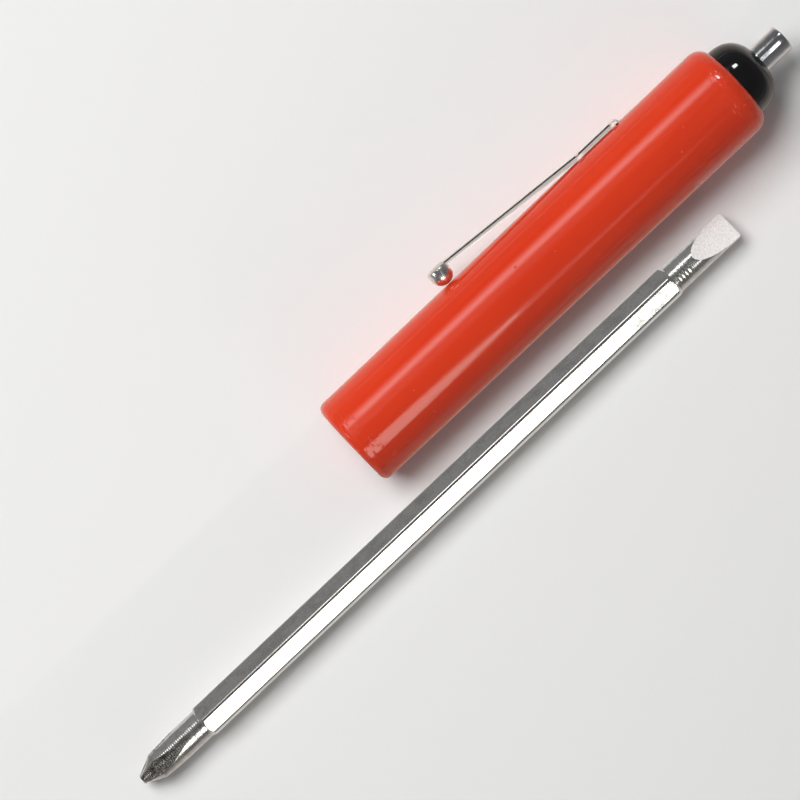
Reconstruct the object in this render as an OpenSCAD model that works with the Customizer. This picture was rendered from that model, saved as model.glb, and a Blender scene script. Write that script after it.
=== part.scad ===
// Pocket screwdriver: a moulded handle with a magnet in its crown and a spring pocket clip,
// and a double-ended blade that is drawn out and lies beside the handle.
// All lengths are millimetres and all angles degrees.
// The origin is the centre of the blade socket's mouth. X runs along the handle to the magnet,
// Y points to the clip's side and Z points up.

/* [Barrel] */
// Length from the mouth to the top rim
barrel_length = 98.4; // [90:0.1:120]
// Diameter at the mouth
mouth_d = 18.7; // [17:0.05:22]
// Diameter at the top rim, which the mould's draft makes a little larger
top_d = 19.35; // [17:0.05:22]
// Rounding of the mouth's outer edge
mouth_round = 1.6; // [0.4:0.1:2.5]
// Rounding of the top rim's outer edge
top_round = 2.2; // [0.4:0.1:2.6]

/* [Blade socket] */
// Play between a flat of the blade and the socket
socket_play = 0.05; // [0.02:0.01:0.15]
// Width of the lead-in chamfer at the mouth
socket_lead = 0.4; // [0.2:0.1:1]
// Plastic left between the socket's floor and the crown's pocket
socket_floor = 4.4; // [2:0.1:8]

/* [Blade] */
// Length over both ends
blade_length = 152.4; // [120:0.1:190]
// Size of the hexagonal bar across its flats
hex_flats = 6.35; // [5:0.05:7]
// How much the rolled bar's corners are rounded off, measured on the radius
corner_trim = 0.14; // [0.05:0.01:0.3]
// How far each turned neck lies below the flats
neck_step = 0.175; // [0.1:0.005:0.4]
// Slope of the turned shoulders between the necks and the bar
shoulder_angle = 37; // [20:1:60]
// Length of the neck at the cross point
cross_neck = 15.7; // [12:0.1:25]
// Length of the neck at the flat tip
flat_neck = 15.2; // [11:0.1:25]
// Lean of the bar's uppermost flat from straight up
hex_turn = 22; // [0:0.1:30]

/* [Cross point] */
// Diameter of the small flat at the point
point_d = 2.3; // [1.6:0.05:2.8]
// Half angle of the point's cone
point_angle = 26.5; // [22:0.5:32]
// Radius of the core between the flutes, at the point
flute_core = 0.45; // [0.3:0.05:0.7]
// Length of the flutes
flute_length = 11.3; // [8:0.1:11.5]
// Width of a flute's floor
flute_floor = 0.4; // [0.2:0.05:0.8]
// Slope of a flute's walls away from its middle
flute_wall = 45; // [35:1:50]
// Radius of the wheel that grinds a flute
flute_wheel = 59; // [40:1:90]
// Lean of the uppermost flute from straight up
flute_turn = 6.5; // [0:0.5:45]

/* [Flat tip] */
// Thickness of the tip at its end
tip_thickness = 0.84; // [0.6:0.02:1.2]
// Length of the ground flats
tip_length = 9.7; // [7:0.1:10.5]
// Radius of the wheel that hollows the flats
tip_wheel = 44; // [35:1:90]
// Chamfer of the tip's two corners
tip_chamfer = 0.35; // [0.1:0.05:0.6]

/* [Blade beside the handle] */
// Clear space between the barrel and the blade
blade_gap = 5.67; // [1:0.05:20]
// How far the blade's end stops short of the socket floor's station
blade_short = 1.6; // [0.5:0.1:6]

/* [Blade spring] */
// Length of the bowed leaf
leaf_length = 34; // [20:0.5:45]
// Width of the leaf
leaf_width = 2.4; // [1.5:0.1:2.5]
// Thickness of the leaf
leaf_thickness = 0.35; // [0.2:0.05:0.45]
// Distance from the mouth to the leaf's hooked end
leaf_start = 5; // [3:0.5:12]
// How far the leaf's crest stands into the socket
leaf_stand = 0.15; // [0.05:0.05:0.3]
// Length of the hook that is bent into the barrel
leaf_hook = 0.9; // [0.6:0.1:1.5]
// Depth of the groove that holds the leaf
groove_depth = 0.9; // [0.7:0.05:1.2]

/* [Crown] */
// Height of the dome above the top rim
crown_height = 6.8; // [5:0.1:9]
// How full the dome is, where 2 is an ellipse and more is squarer
crown_fullness = 2.55; // [2:0.05:3.5]
// Ring of the top rim's face that the dome leaves bare
crown_ledge = 0.05; // [0:0.05:0.4]
// Diameter of the plug pressed into the barrel
plug_d = 11; // [9:0.1:11.5]
// Length of the plug
plug_length = 12; // [9:0.1:14]
// Height of the crush ribs on the plug
rib_height = 0.06; // [0.03:0.01:0.1]
// Width of a crush rib
rib_width = 0.8; // [0.5:0.1:1.5]
// Number of crush ribs
rib_count = 6; // [3:1:8]

/* [Magnet] */
// Diameter of the magnet
magnet_d = 5.65; // [4:0.05:6.5]
// Length of the magnet
magnet_length = 12.7; // [10:0.1:14]
// How far it stands out of the dome
magnet_stand = 5.9; // [4:0.1:7]
// Rounding of its outer edge
magnet_round = 0.65; // [0.2:0.05:1]

/* [Pocket clip] */
// Turn of the clip above the handle's side, towards the top
clip_turn = 8; // [0:1:40]
// Distance from the mouth to the clip's curled end
clip_end = 77.8; // [72:0.1:82]
// Thickness of the sheet
clip_sheet = 0.4; // [0.3:0.05:0.5]
// Width of the strip
clip_width = 2.4; // [2:0.1:4]
// Height of the strip's back above the barrel, at its curled end
back_height = 1.08; // [0.9:0.02:1.5]
// Gap below the sides of the strip's back
back_gap = 0.25; // [0.2:0.05:0.4]
// Length from the curled end to the knee
back_length = 10.1; // [8:0.1:14]
// Length of the stretch at the curled end that has no sides
bare_length = 1.9; // [1.5:0.1:3]
// Length from the knee to the ball's centre
arm_length = 33.6; // [25:0.1:45]
// Depth of the arm's sides at the knee
arm_side_knee = 1; // [0.8:0.05:1.2]
// Depth of the arm's sides at the ball
arm_side_ball = 0.8; // [0.6:0.05:1.2]
// Open notch in the sides at the knee
knee_notch = 0.7; // [0.4:0.05:1.2]
// Diameter of the ball end
ball_d = 4.58; // [3.5:0.05:6]
// Height of the ball end
ball_height = 3.95; // [3:0.05:5]
// Space below the ball end at rest
ball_gap = 0.1; // [0.05:0.05:0.3]
// Depth of the tab inside the barrel
tab_depth = 3.2; // [2:0.1:4]

/* [Hidden] */

// Smoothness
turn_fn = 96;
arc_steps = 8;
dome_steps = 20;
bar_sides = 6;
half_side = 180 / bar_sides;
quarter = 90;

// Shared clearances and overruns
cut_over = 1;
seat_gap = 0.05;
press_tight = 0.01;

// Barrel
mouth_r = mouth_d / 2;
top_r = top_d / 2;
plug_r = plug_d / 2;
plug_play = 0.02;
pocket_r = plug_r + plug_play;
pocket_x = barrel_length - plug_length - seat_gap;
socket_depth = pocket_x - socket_floor;
socket_flat = hex_flats / 2 + socket_play;
socket_corner = socket_flat / cos(half_side);

// Blade
neck_r = hex_flats / 2 - neck_step;
corner_r = hex_flats / 2 / cos(half_side) - corner_trim;
shoulder_run = (corner_r - neck_r) / tan(shoulder_angle);
point_r = point_d / 2;
point_run = (neck_r - point_r) / tan(point_angle);
point_edge = 0.2;
blade_end = socket_depth - blade_short;
blade_start = blade_end - blade_length;
blade_y = -(top_r + blade_gap + corner_r);
blade_z = corner_r - top_r;
tip_turn = hex_turn - half_side;
flute_count = 4;
flat_count = 2;
flute_reach = 2 * corner_r;

// Blade spring
leaf_turn = hex_turn - 4 * half_side;
leaf_play = 0.1;
groove_floor = socket_flat + groove_depth;
leaf_inner = socket_flat - leaf_stand;
leaf_rise = groove_floor - seat_gap - leaf_inner - leaf_thickness;
leaf_bow = (pow(leaf_length / 2, 2) + pow(leaf_rise, 2)) / (2 * leaf_rise);

// Crown and magnet
crown_r = top_r - top_round - crown_ledge;
plug_chamfer = 0.6;
plug_web = 2;
plug_wall = 1.6;
magnet_r = magnet_d / 2;
magnet_end = barrel_length + crown_height + magnet_stand;
magnet_start = magnet_end - magnet_length;
magnet_bevel = 0.3;

// Pocket clip, where the local Y axis points out of the barrel
clip_half = clip_width / 2;
slot_play = 0.12;
slot_swing = 0.4;
slot_deep = 0.3;
curl_r = 0.9;
curl_inner = curl_r - clip_sheet;
back_top = barrel_radius(clip_end) + back_height;
back_low = barrel_radius(clip_end) + back_gap;
bare_x = clip_end - bare_length;
knee_x = clip_end - back_length;
ball_x = knee_x - arm_length;
ball_low = barrel_radius(ball_x) + ball_gap;
ball_top = ball_low + ball_height;
ball_r = ball_d / 2;
ball_belly_share = 0.55;
ball_side_share = 0.84;
ball_fullness = 2.6;
ball_belly = ball_height * ball_belly_share;
ball_side = ball_height * ball_side_share;
arm_tuck = 0.13;
arm_slope = (ball_top - arm_tuck - back_top) / arm_length;
arm_side_start = ball_x + ball_r + clip_sheet;
arm_side_end = knee_x - knee_notch / 2;
back_side_start = knee_x + knee_notch / 2;
back_side_lean = 0.7;
side_inset = clip_sheet / 2;

// Radius of the barrel at a station along its axis
function barrel_radius(x) = mouth_r + (top_r - mouth_r) * x / barrel_length;

// Points along an arc, from one angle to another
function arc(centre, radius, from, to) =
    [for (i = [0 : arc_steps]) centre + radius * direction(from + (to - from) * i / arc_steps)];

function direction(angle) = [cos(angle), sin(angle)];

// Quarter of a rounded square, from its side to its top
function dome(radius, height, fullness, base) =
    [for (i = [0 : dome_steps])
        let (angle = quarter * i / dome_steps)
        [radius * pow(cos(angle), 2 / fullness), base + height * pow(sin(angle), 2 / fullness)]];

// Centre of a grinding wheel that passes through two points and lies to the left of the way between them
function wheel_centre(a, b, radius) =
    let (way = b - a, span = norm(way), offset = sqrt(pow(radius, 2) - pow(span / 2, 2)))
    (a + b) / 2 + [-way[1], way[0]] / span * offset;

// Height of the back of the clip's arm at a station along the barrel
function arm_top(x) = back_top + (knee_x - x) * arm_slope;

// A turned piece on the X axis, from an outline of radius and station
module turned(outline) {
    rotate([0, quarter, 0])
        rotate_extrude($fn = turn_fn)
            polygon(outline);
}

// A round bar or bore on the X axis
module round_bar(from, to, radius) {
    translate([from, 0, 0])
        rotate([0, quarter, 0])
            cylinder(h = to - from, r = radius, $fn = turn_fn);
}

// A hexagonal bar on the X axis, turned so that one of its flats leans by hex_turn
module hex_bar(from, to, corner) {
    rotate([hex_turn + half_side, 0, 0])
        translate([from, 0, 0])
            rotate([0, quarter, 0])
                cylinder(h = to - from, r = corner, $fn = bar_sides);
}

// Everything on the clip is drawn in the X-Y plane and turned up by this
module at_clip() {
    rotate([clip_turn, 0, 0])
        children();
}

// A flat outline in the clip's X-Y plane, thickened about a place across the strip
module clip_plate(outline, thickness, across = 0) {
    translate([0, 0, across - thickness / 2])
        linear_extrude(height = thickness)
            polygon(outline);
}

module handle_barrel() {
    color([0.87, 0.28, 0.14])
        difference() {
            turned(concat(
                [[0, 0]],
                arc([mouth_r - mouth_round, mouth_round], mouth_round, -quarter, 0),
                arc([top_r - top_round, barrel_length - top_round], top_round, 0, quarter),
                [[0, barrel_length]]));
            hex_bar(-cut_over, socket_depth, socket_corner);
            socket_lead_in();
            leaf_groove();
            round_bar(pocket_x, barrel_length + cut_over, pocket_r);
            tab_slot();
        }
}

// Chamfer that leads the blade into the socket
module socket_lead_in() {
    wide = socket_corner + socket_lead;
    turned([[0, -cut_over], [wide + cut_over, -cut_over], [wide - socket_lead, socket_lead], [0, socket_lead]]);
}

// Groove in one flat of the socket, open at the mouth, with a notch for the leaf's hook
module leaf_groove() {
    width = leaf_width + 2 * leaf_play;
    rotate([leaf_turn, 0, 0]) {
        translate([-cut_over, -width / 2, 0])
            cube([cut_over + leaf_start + leaf_length + leaf_play, width, groove_floor]);
        translate([leaf_start - leaf_play, -width / 2, 0])
            cube([leaf_thickness + 2 * leaf_play, width, groove_floor + leaf_hook]);
    }
}

// Slot for the clip's tab, with room on the mouth's side for the tab to tilt
module tab_slot() {
    width = clip_width + 2 * slot_play;
    depth = tab_depth + slot_deep;
    start = clip_end - clip_sheet - slot_play - slot_swing;
    at_clip()
        translate([start, barrel_radius(clip_end) - depth, -width / 2])
            cube([clip_end + slot_play - start, depth + cut_over, width]);
}

module blade_spring() {
    color([0.55, 0.57, 0.6])
        rotate([leaf_turn, 0, 0]) {
            intersection() {
                translate([leaf_start, -leaf_width / 2, 0])
                    cube([leaf_length, leaf_width, groove_floor]);
                translate([leaf_start + leaf_length / 2, 0, leaf_inner + leaf_bow])
                    rotate([quarter, 0, 0])
                        difference() {
                            cylinder(h = 2 * leaf_width, r = leaf_bow, center = true, $fn = turn_fn);
                            cylinder(h = 3 * leaf_width, r = leaf_bow - leaf_thickness, center = true, $fn = turn_fn);
                        }
            }
            translate([leaf_start, -leaf_width / 2, leaf_inner + leaf_rise])
                cube([leaf_thickness, leaf_width, groove_depth + leaf_stand - leaf_rise + leaf_hook - leaf_play]);
        }
}

module top_cap() {
    plug_start = barrel_length - plug_length;
    color([0.05, 0.05, 0.06])
        difference() {
            union() {
                turned(concat(
                    [[0, plug_start], [plug_r - plug_chamfer, plug_start], [plug_r, plug_start + plug_chamfer],
                        [plug_r, barrel_length]],
                    dome(crown_r, crown_height, crown_fullness, barrel_length)));
                for (i = [0 : rib_count - 1])
                    rotate([i * 2 * 180 / rib_count, 0, 0])
                        translate([plug_start + plug_chamfer, -rib_width / 2, 0])
                            cube([plug_length - 2 * plug_chamfer, rib_width, plug_r + rib_height]);
            }
            round_bar(magnet_start, magnet_end, magnet_r - press_tight);
            round_bar(plug_start - cut_over, magnet_start - plug_web, plug_r - plug_wall);
        }
}

module magnet() {
    color([0.78, 0.79, 0.8])
        turned(concat(
            [[0, magnet_start], [magnet_r - magnet_bevel, magnet_start], [magnet_r, magnet_start + magnet_bevel]],
            arc([magnet_r - magnet_round, magnet_end - magnet_round], magnet_round, 0, quarter),
            [[0, magnet_end]]));
}

module pocket_clip() {
    color([0.8, 0.8, 0.8])
        at_clip() {
            clip_plate(strip_outline(), clip_width);
            for (side = [-1, 1]) {
                clip_plate(arm_side_outline(), clip_sheet, side * (clip_half - clip_sheet / 2));
                clip_plate(back_side_outline(), clip_sheet, side * (clip_half - clip_sheet / 2));
            }
            ball_end();
        }
}

// The strip seen from its edge: ball, arm, knee, back, curl and tab, there and back again
function strip_outline() = concat(
    [[ball_x, arm_top(ball_x)], [knee_x, back_top]],
    arc([clip_end - curl_r, back_top - curl_r], curl_r, quarter, 0),
    [[clip_end, back_top - back_height - tab_depth], [clip_end - clip_sheet, back_top - back_height - tab_depth]],
    arc([clip_end - curl_r, back_top - curl_r], curl_inner, 0, quarter),
    [[knee_x, back_top - clip_sheet], [ball_x, arm_top(ball_x) - clip_sheet]]);

// One side of the arm, with a rounded end at the knee
function arm_side_outline() =
    let (round_r = (arm_side_knee - side_inset) / 2)
    concat(
        [[arm_side_start, arm_top(arm_side_start) - arm_side_ball],
            [arm_side_end - round_r, arm_top(arm_side_end) - arm_side_knee]],
        arc([arm_side_end - round_r, arm_top(arm_side_end) - side_inset - round_r], round_r, -quarter, quarter),
        [[arm_side_start, arm_top(arm_side_start) - side_inset]]);

// One side of the back, which starts with a slant at the knee
function back_side_outline() = [
    [back_side_start + back_side_lean, back_low],
    [bare_x, back_low],
    [bare_x, back_top - side_inset],
    [back_side_start, back_top - side_inset]];

// The ball: a round belly, an upright wall and a shallow crown
module ball_end() {
    belly = [for (point = dome(ball_r, ball_belly, 2, 0)) [point[0], ball_low + ball_belly - point[1]]];
    crown = dome(ball_r, ball_height - ball_side, ball_fullness, ball_low + ball_side);
    translate([ball_x, 0, 0])
        rotate([-quarter, 0, 0])
            rotate_extrude($fn = turn_fn)
                polygon(concat([for (i = [dome_steps : -1 : 0]) belly[i]], crown));
}

module blade() {
    color([0.75, 0.75, 0.74])
        translate([0, blade_y, blade_z])
            difference() {
                intersection() {
                    turned(blade_outline());
                    hex_bar(blade_start - cut_over, blade_end + cut_over, hex_flats / 2 / cos(half_side));
                }
                for (i = [0 : flute_count - 1])
                    rotate([flute_turn + i * 2 * 180 / flute_count, 0, 0])
                        flute_grind();
                for (i = [0 : flat_count - 1])
                    rotate([tip_turn + i * 2 * 180 / flat_count, 0, 0])
                        tip_grind();
            }
}

// Radius and station of the turned blank, from the cross point to the flat tip
function blade_outline() = [
    [0, blade_start],
    [point_r - point_edge, blade_start],
    [point_r, blade_start + point_edge],
    [neck_r, blade_start + point_edge + point_run],
    [neck_r, blade_start + cross_neck],
    [corner_r, blade_start + cross_neck + shoulder_run],
    [corner_r, blade_end - flat_neck - shoulder_run],
    [neck_r, blade_end - flat_neck],
    [neck_r, blade_end - tip_chamfer],
    [neck_r - tip_chamfer, blade_end],
    [0, blade_end]];

// Wheel with a V-shaped rim that cuts the uppermost flute
module flute_grind() {
    centre = wheel_centre([blade_start, flute_core], [blade_start + flute_length, neck_r], flute_wheel);
    half = flute_floor / 2;
    wide = half + flute_reach * tan(flute_wall);
    translate([centre[0], 0, centre[1]])
        rotate([quarter, 0, 0])
            rotate_extrude($fn = turn_fn)
                polygon([[0, -wide], [flute_wheel - flute_reach, -wide], [flute_wheel, -half],
                    [flute_wheel, half], [flute_wheel - flute_reach, wide], [0, wide]]);
}

// Wheel that hollows the uppermost flat of the tip
module tip_grind() {
    centre = wheel_centre([blade_end - tip_length, neck_r], [blade_end, tip_thickness / 2], tip_wheel);
    translate([centre[0], 0, centre[1]])
        rotate([quarter, 0, 0])
            cylinder(h = 4 * neck_r, r = tip_wheel, center = true, $fn = turn_fn);
}

handle_barrel();
blade_spring();
top_cap();
magnet();
pocket_clip();
blade();
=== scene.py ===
"""Looks of a pocket screwdriver: handle, crown, magnet, clip and drawn-out blade, in metres.

X runs along the handle from its mouth to the magnet, Y points to the clip's side and Z points up.
"""
import logging
import math
import random
from dataclasses import dataclass, replace
from enum import Enum
from typing import Callable, Sequence, Union

import bmesh
import bpy
from mathutils import Matrix, Vector


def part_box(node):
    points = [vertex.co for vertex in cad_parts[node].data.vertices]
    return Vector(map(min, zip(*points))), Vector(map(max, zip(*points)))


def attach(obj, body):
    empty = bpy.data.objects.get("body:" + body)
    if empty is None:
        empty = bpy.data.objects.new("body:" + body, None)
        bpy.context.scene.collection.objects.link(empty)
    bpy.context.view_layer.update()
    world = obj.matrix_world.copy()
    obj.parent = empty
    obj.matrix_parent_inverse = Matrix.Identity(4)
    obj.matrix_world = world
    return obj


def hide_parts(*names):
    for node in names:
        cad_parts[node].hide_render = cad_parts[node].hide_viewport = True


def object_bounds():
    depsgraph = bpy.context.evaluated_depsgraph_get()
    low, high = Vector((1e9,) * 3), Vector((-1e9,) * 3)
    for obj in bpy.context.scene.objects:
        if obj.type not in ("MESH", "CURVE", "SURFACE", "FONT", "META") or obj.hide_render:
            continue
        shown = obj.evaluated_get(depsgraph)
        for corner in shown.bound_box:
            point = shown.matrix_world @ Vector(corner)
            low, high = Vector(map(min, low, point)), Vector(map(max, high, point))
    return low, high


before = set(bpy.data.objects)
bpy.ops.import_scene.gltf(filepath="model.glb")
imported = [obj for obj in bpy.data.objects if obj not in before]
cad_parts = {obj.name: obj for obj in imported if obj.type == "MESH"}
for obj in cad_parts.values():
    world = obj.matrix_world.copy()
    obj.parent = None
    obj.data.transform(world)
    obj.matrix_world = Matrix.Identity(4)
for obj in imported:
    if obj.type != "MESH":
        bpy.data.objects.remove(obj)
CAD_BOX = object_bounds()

LOG = logging.getLogger("pocket_screwdriver")
MM = 0.001
FULL_TURN = 2 * math.pi
WHITE = (1.0, 1.0, 1.0)
Number = Union[int, float]
Colour = tuple[float, float, float]
Point = tuple[float, float, float]
Outline = list[tuple[float, float]]
Material = bpy.types.Material
Piece = bpy.types.Object


class Value:
    """A number, colour or vector that a shader works out at each point of a surface.

    Arithmetic on values adds Math nodes, so it is for numbers alone.
    """

    def __init__(self, graph: "Graph", socket: bpy.types.NodeSocket) -> None:
        """Wrap a node's output.

        Args:
            graph: The shader that the node belongs to.
            socket: The output that carries the value.
        """
        self.graph = graph
        self.socket = socket

    def _math(self, operation: str, first: "Shade", second: "Shade" = 0.0) -> "Value":
        """Add one Math node for two operands."""
        return self.graph.make("ShaderNodeMath", {"operation": operation}, {0: first, 1: second})

    def __add__(self, other: "Shade") -> "Value":
        """Sum."""
        return self._math("ADD", self, other)

    def __radd__(self, other: "Shade") -> "Value":
        """Sum with a plain number on the left."""
        return self._math("ADD", other, self)

    def __sub__(self, other: "Shade") -> "Value":
        """Difference."""
        return self._math("SUBTRACT", self, other)

    def __rsub__(self, other: "Shade") -> "Value":
        """Difference from a plain number, such as 1 - mask."""
        return self._math("SUBTRACT", other, self)

    def __mul__(self, other: "Shade") -> "Value":
        """Product."""
        return self._math("MULTIPLY", self, other)

    def __rmul__(self, other: "Shade") -> "Value":
        """Product with a plain number on the left."""
        return self._math("MULTIPLY", other, self)

    def __pow__(self, other: "Shade") -> "Value":
        """Power."""
        return self._math("POWER", self, other)

    def sine(self) -> "Value":
        """Sine of an angle in radians."""
        return self._math("SINE", self)

    def most(self, other: "Shade") -> "Value":
        """The larger of two values."""
        return self._math("MAXIMUM", self, other)

    def rise(self, low: Number, high: Number) -> "Value":
        """A smooth step from 0 at low to 1 at high, which may lie in either order.

        Args:
            low: Where the step starts.
            high: Where it ends.

        Returns:
            The step, from 0 to 1.
        """
        settings = {"interpolation_type": "SMOOTHSTEP"}
        limits = {"Value": self, "From Min": low, "From Max": high}
        return self.graph.make("ShaderNodeMapRange", settings, limits)


Shade = Union[Value, Number, Sequence[float]]


class Graph:
    """The node tree of one material or world, filled by expressions."""

    def __init__(self, tree: bpy.types.NodeTree) -> None:
        """Empty the tree.

        Args:
            tree: The node tree to fill.
        """
        self.tree = tree
        tree.nodes.clear()

    def make(self, kind: str, settings: dict | None = None, inputs: dict | None = None,
             output: int | str | None = 0) -> Value | None:
        """Add one node.

        Args:
            kind: The node's type.
            settings: Its settings, such as a Math node's operation.
            inputs: The number, colour or value for each named or numbered input.
            output: The output to hand back, or None where nothing comes out.

        Returns:
            The chosen output as a value, if there is one.
        """
        node = self.tree.nodes.new(kind)
        for name, setting in (settings or {}).items():
            setattr(node, name, setting)
        for key, given in (inputs or {}).items():
            self.plug(given, node.inputs[key])
        return None if output is None else Value(self, node.outputs[output])

    def plug(self, given: Shade, socket: bpy.types.NodeSocket) -> None:
        """Link a value to an input, or set a constant on it.

        Args:
            given: The value, number or colour.
            socket: The input.
        """
        if isinstance(given, Value):
            self.tree.links.new(given.socket, socket)
        elif isinstance(given, (int, float)):
            socket.default_value = given
        else:
            length = len(socket.default_value)
            socket.default_value = (*given, 1.0)[:length]

    def place(self) -> Value:
        """Position on the piece in millimetres."""
        metres = self.make("ShaderNodeTexCoord", output="Object")
        return self.make("ShaderNodeVectorMath", {"operation": "SCALE"}, {0: metres, "Scale": 1 / MM})

    def stretch(self, vector: Value, shares: Sequence[float]) -> Value:
        """Multiply a vector's three parts each by its own share."""
        return self.make("ShaderNodeVectorMath", {"operation": "MULTIPLY"}, {0: vector, 1: shares})

    def part(self, vector: Value, axis: int) -> Value:
        """One part of a vector: 0 for X, 1 for Y and 2 for Z."""
        return self.make("ShaderNodeSeparateXYZ", inputs={0: vector}, output=axis)

    def noise(self, vector: Value, scale: float, detail: float = 2.0, rough: float = 0.5) -> Value:
        """Smooth random variation from about 0 to 1.

        Args:
            vector: Where on the piece, in millimetres.
            scale: Grains to the millimetre.
            detail: How many finer layers are added.
            rough: How strong the finer layers are.

        Returns:
            The variation.
        """
        inputs = {"Vector": vector, "Scale": scale, "Detail": detail, "Roughness": rough}
        return self.make("ShaderNodeTexNoise", {"noise_dimensions": "3D"}, inputs)

    def spots(self, vector: Value, scale: float) -> Value:
        """Distance to the nearest of many scattered points, in grains."""
        return self.make("ShaderNodeTexVoronoi", {"feature": "F1"}, {"Vector": vector, "Scale": scale})

    def tint(self, factor: Shade, first: Shade, second: Shade) -> Value:
        """Mix two colours.

        Args:
            factor: 0 for the first colour and 1 for the second.
            first: The first colour.
            second: The second colour.

        Returns:
            The mixed colour.
        """
        return self.make("ShaderNodeMix", {"data_type": "RGBA"}, {0: factor, 6: first, 7: second}, 2)

    def bump(self, height: Value, strength: float = 1.0) -> Value:
        """A normal that follows a relief given in millimetres."""
        inputs = {"Height": height, "Distance": MM, "Strength": strength}
        return self.make("ShaderNodeBump", inputs=inputs)

    def surface(self, inputs: dict[str, Shade]) -> None:
        """End a material in one Principled shader.

        Args:
            inputs: The shader's inputs by name.
        """
        shader = self.make("ShaderNodeBsdfPrincipled", inputs=inputs)
        self.make("ShaderNodeOutputMaterial", inputs={"Surface": shader}, output=None)


def new_material(name: str) -> tuple[Material, Graph]:
    """Start a material.

    Args:
        name: The material's name.

    Returns:
        The material and its empty graph.
    """
    material = bpy.data.materials.new(name)
    material.use_nodes = True
    return material, Graph(material.node_tree)


@dataclass(frozen=True)
class Grain:
    """A random pattern: its grains to the millimetre, its run along X, Y and Z, and where it sets in."""

    scale: float
    run: tuple[float, float, float] = (1.0, 1.0, 1.0)
    detail: float = 2.0
    rough: float = 0.5
    step: tuple[float, float] | None = None

    def over(self, g: Graph, p: Value) -> Value:
        """Lay the pattern over a piece.

        Args:
            g: The material's graph.
            p: Where on the piece, in millimetres.

        Returns:
            The pattern, from 0 to 1.
        """
        pattern = g.noise(g.stretch(p, self.run), self.scale, self.detail, self.rough)
        return pattern.rise(*self.step) if self.step else pattern


@dataclass(frozen=True)
class Specks:
    """Scattered round specks: their number to the millimetre, and their edge and middle in grains."""

    scale: float
    edge: float
    middle: float

    def over(self, g: Graph, p: Value) -> Value:
        """Lay the specks over a piece, with 1 in the middle of each."""
        return g.spots(p, self.scale).rise(self.edge, self.middle)


@dataclass(frozen=True)
class GlossPlastic:
    """Moulded plastic with a faint flow pattern, peel and a rubbed rim at either end."""

    name: str
    colour: Colour
    deep: Colour
    roughness: float
    peel: float
    rim_low: float
    rim_high: float
    rim_run: float = 6.5
    rim_relief: float = 0.05
    nick_height: float = 0.12
    refraction: float = 1.5
    flow: Grain = Grain(0.12, (0.25, 1.0, 1.0), step=(0.35, 0.65))
    skin: Grain = Grain(0.55, detail=1.0)
    tooth: Grain = Grain(1.3, (1.7, 0.6, 0.6), 3.0, 0.6, (0.52, 0.70))
    scuffs: Grain = Grain(0.5, (0.5, 2.2, 2.2), 4.0, 0.65, (0.62, 0.74))
    nicks: Specks = Specks(0.34, 0.09, 0.0)
    tooth_dulls: float = 0.04
    scuff_dulls: float = 0.07
    nick_dulls: float = 0.1

    def build(self) -> Material:
        """Make the material.

        Returns:
            The material.
        """
        material, g = new_material(self.name)
        p = g.place()
        tooth, scuff, nick = self.tooth.over(g, p), self.scuffs.over(g, p), self.nicks.over(g, p)
        colour = g.tint(self.flow.over(g, p), self.deep, self.colour)
        along = g.part(p, 0)
        rim = along.rise(self.rim_low + self.rim_run, self.rim_low + self.rim_run / 4)
        rim = rim + along.rise(self.rim_high - self.rim_run, self.rim_high - self.rim_run / 4)
        relief = self.skin.over(g, p) * self.peel + tooth * rim * self.rim_relief + nick * self.nick_height
        rough = self.roughness + scuff * self.scuff_dulls + nick * self.nick_dulls
        rough = rough + rim * tooth * self.tooth_dulls
        g.surface({"Base Color": colour, "Roughness": rough, "IOR": self.refraction,
                   "Normal": g.bump(relief)})
        return material


class Marks(Enum):
    """How a metal surface was worked, which sets the run of its marks."""

    DRAWN = (0.05, 5.0, 5.0)
    STAMPED = (0.25, 1.6, 1.6)
    GROUND = (0.12, 2.6, 2.6)
    BLASTED = (1.0, 1.0, 1.0)


@dataclass(frozen=True)
class PlatedSteel:
    """Bright plated steel with working marks, stipple and soft dull patches, and where asked white specks
    painted into its colour as glints.
    """

    name: str
    colour: Colour
    dull: Colour
    marks: Marks
    roughness: float
    spread: float
    mark_relief: float
    grain: float = 2.2
    grain_relief: float = 0.0005
    metallic: float = 1.0
    painted_glint: float = 0.0
    patchy: float = 0.7
    lines: Grain = Grain(1.3, detail=4.0, rough=0.6)
    stipple: Grain = Grain(2.2, detail=3.0, rough=0.6, step=(0.36, 0.64))
    wear: Grain = Grain(0.42, (0.6, 1.0, 1.0), 4.0, 0.6, (0.42, 0.66))
    specks: Specks = Specks(0.9, 0.2, 0.06)
    painted_glints: Specks = Specks(1.7, 0.22, 0.1)
    stipple_share: float = 0.5

    def build(self) -> Material:
        """Make the material.

        Returns:
            The material.
        """
        material, g = new_material(self.name)
        p = g.place()
        lines = replace(self.lines, run=self.marks.value).over(g, p)
        stipple = replace(self.stipple, scale=self.grain).over(g, p)
        worn, speck = self.wear.over(g, p), self.specks.over(g, p)
        colour = g.tint(worn * self.patchy + stipple * (1 - self.patchy), self.colour, self.dull)
        # Painted highlights: white specks mixed into the colour stand for glints.
        if self.painted_glint:
            colour = g.tint(self.painted_glints.over(g, p) * self.painted_glint, colour, WHITE)
        fine = self.spread * self.stipple_share
        rough = self.roughness + worn * self.spread + stipple * fine - speck * fine
        relief = lines * self.mark_relief + stipple * self.grain_relief
        g.surface({"Base Color": colour, "Metallic": self.metallic, "Roughness": rough,
                   "Normal": g.bump(relief)})
        return material


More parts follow.
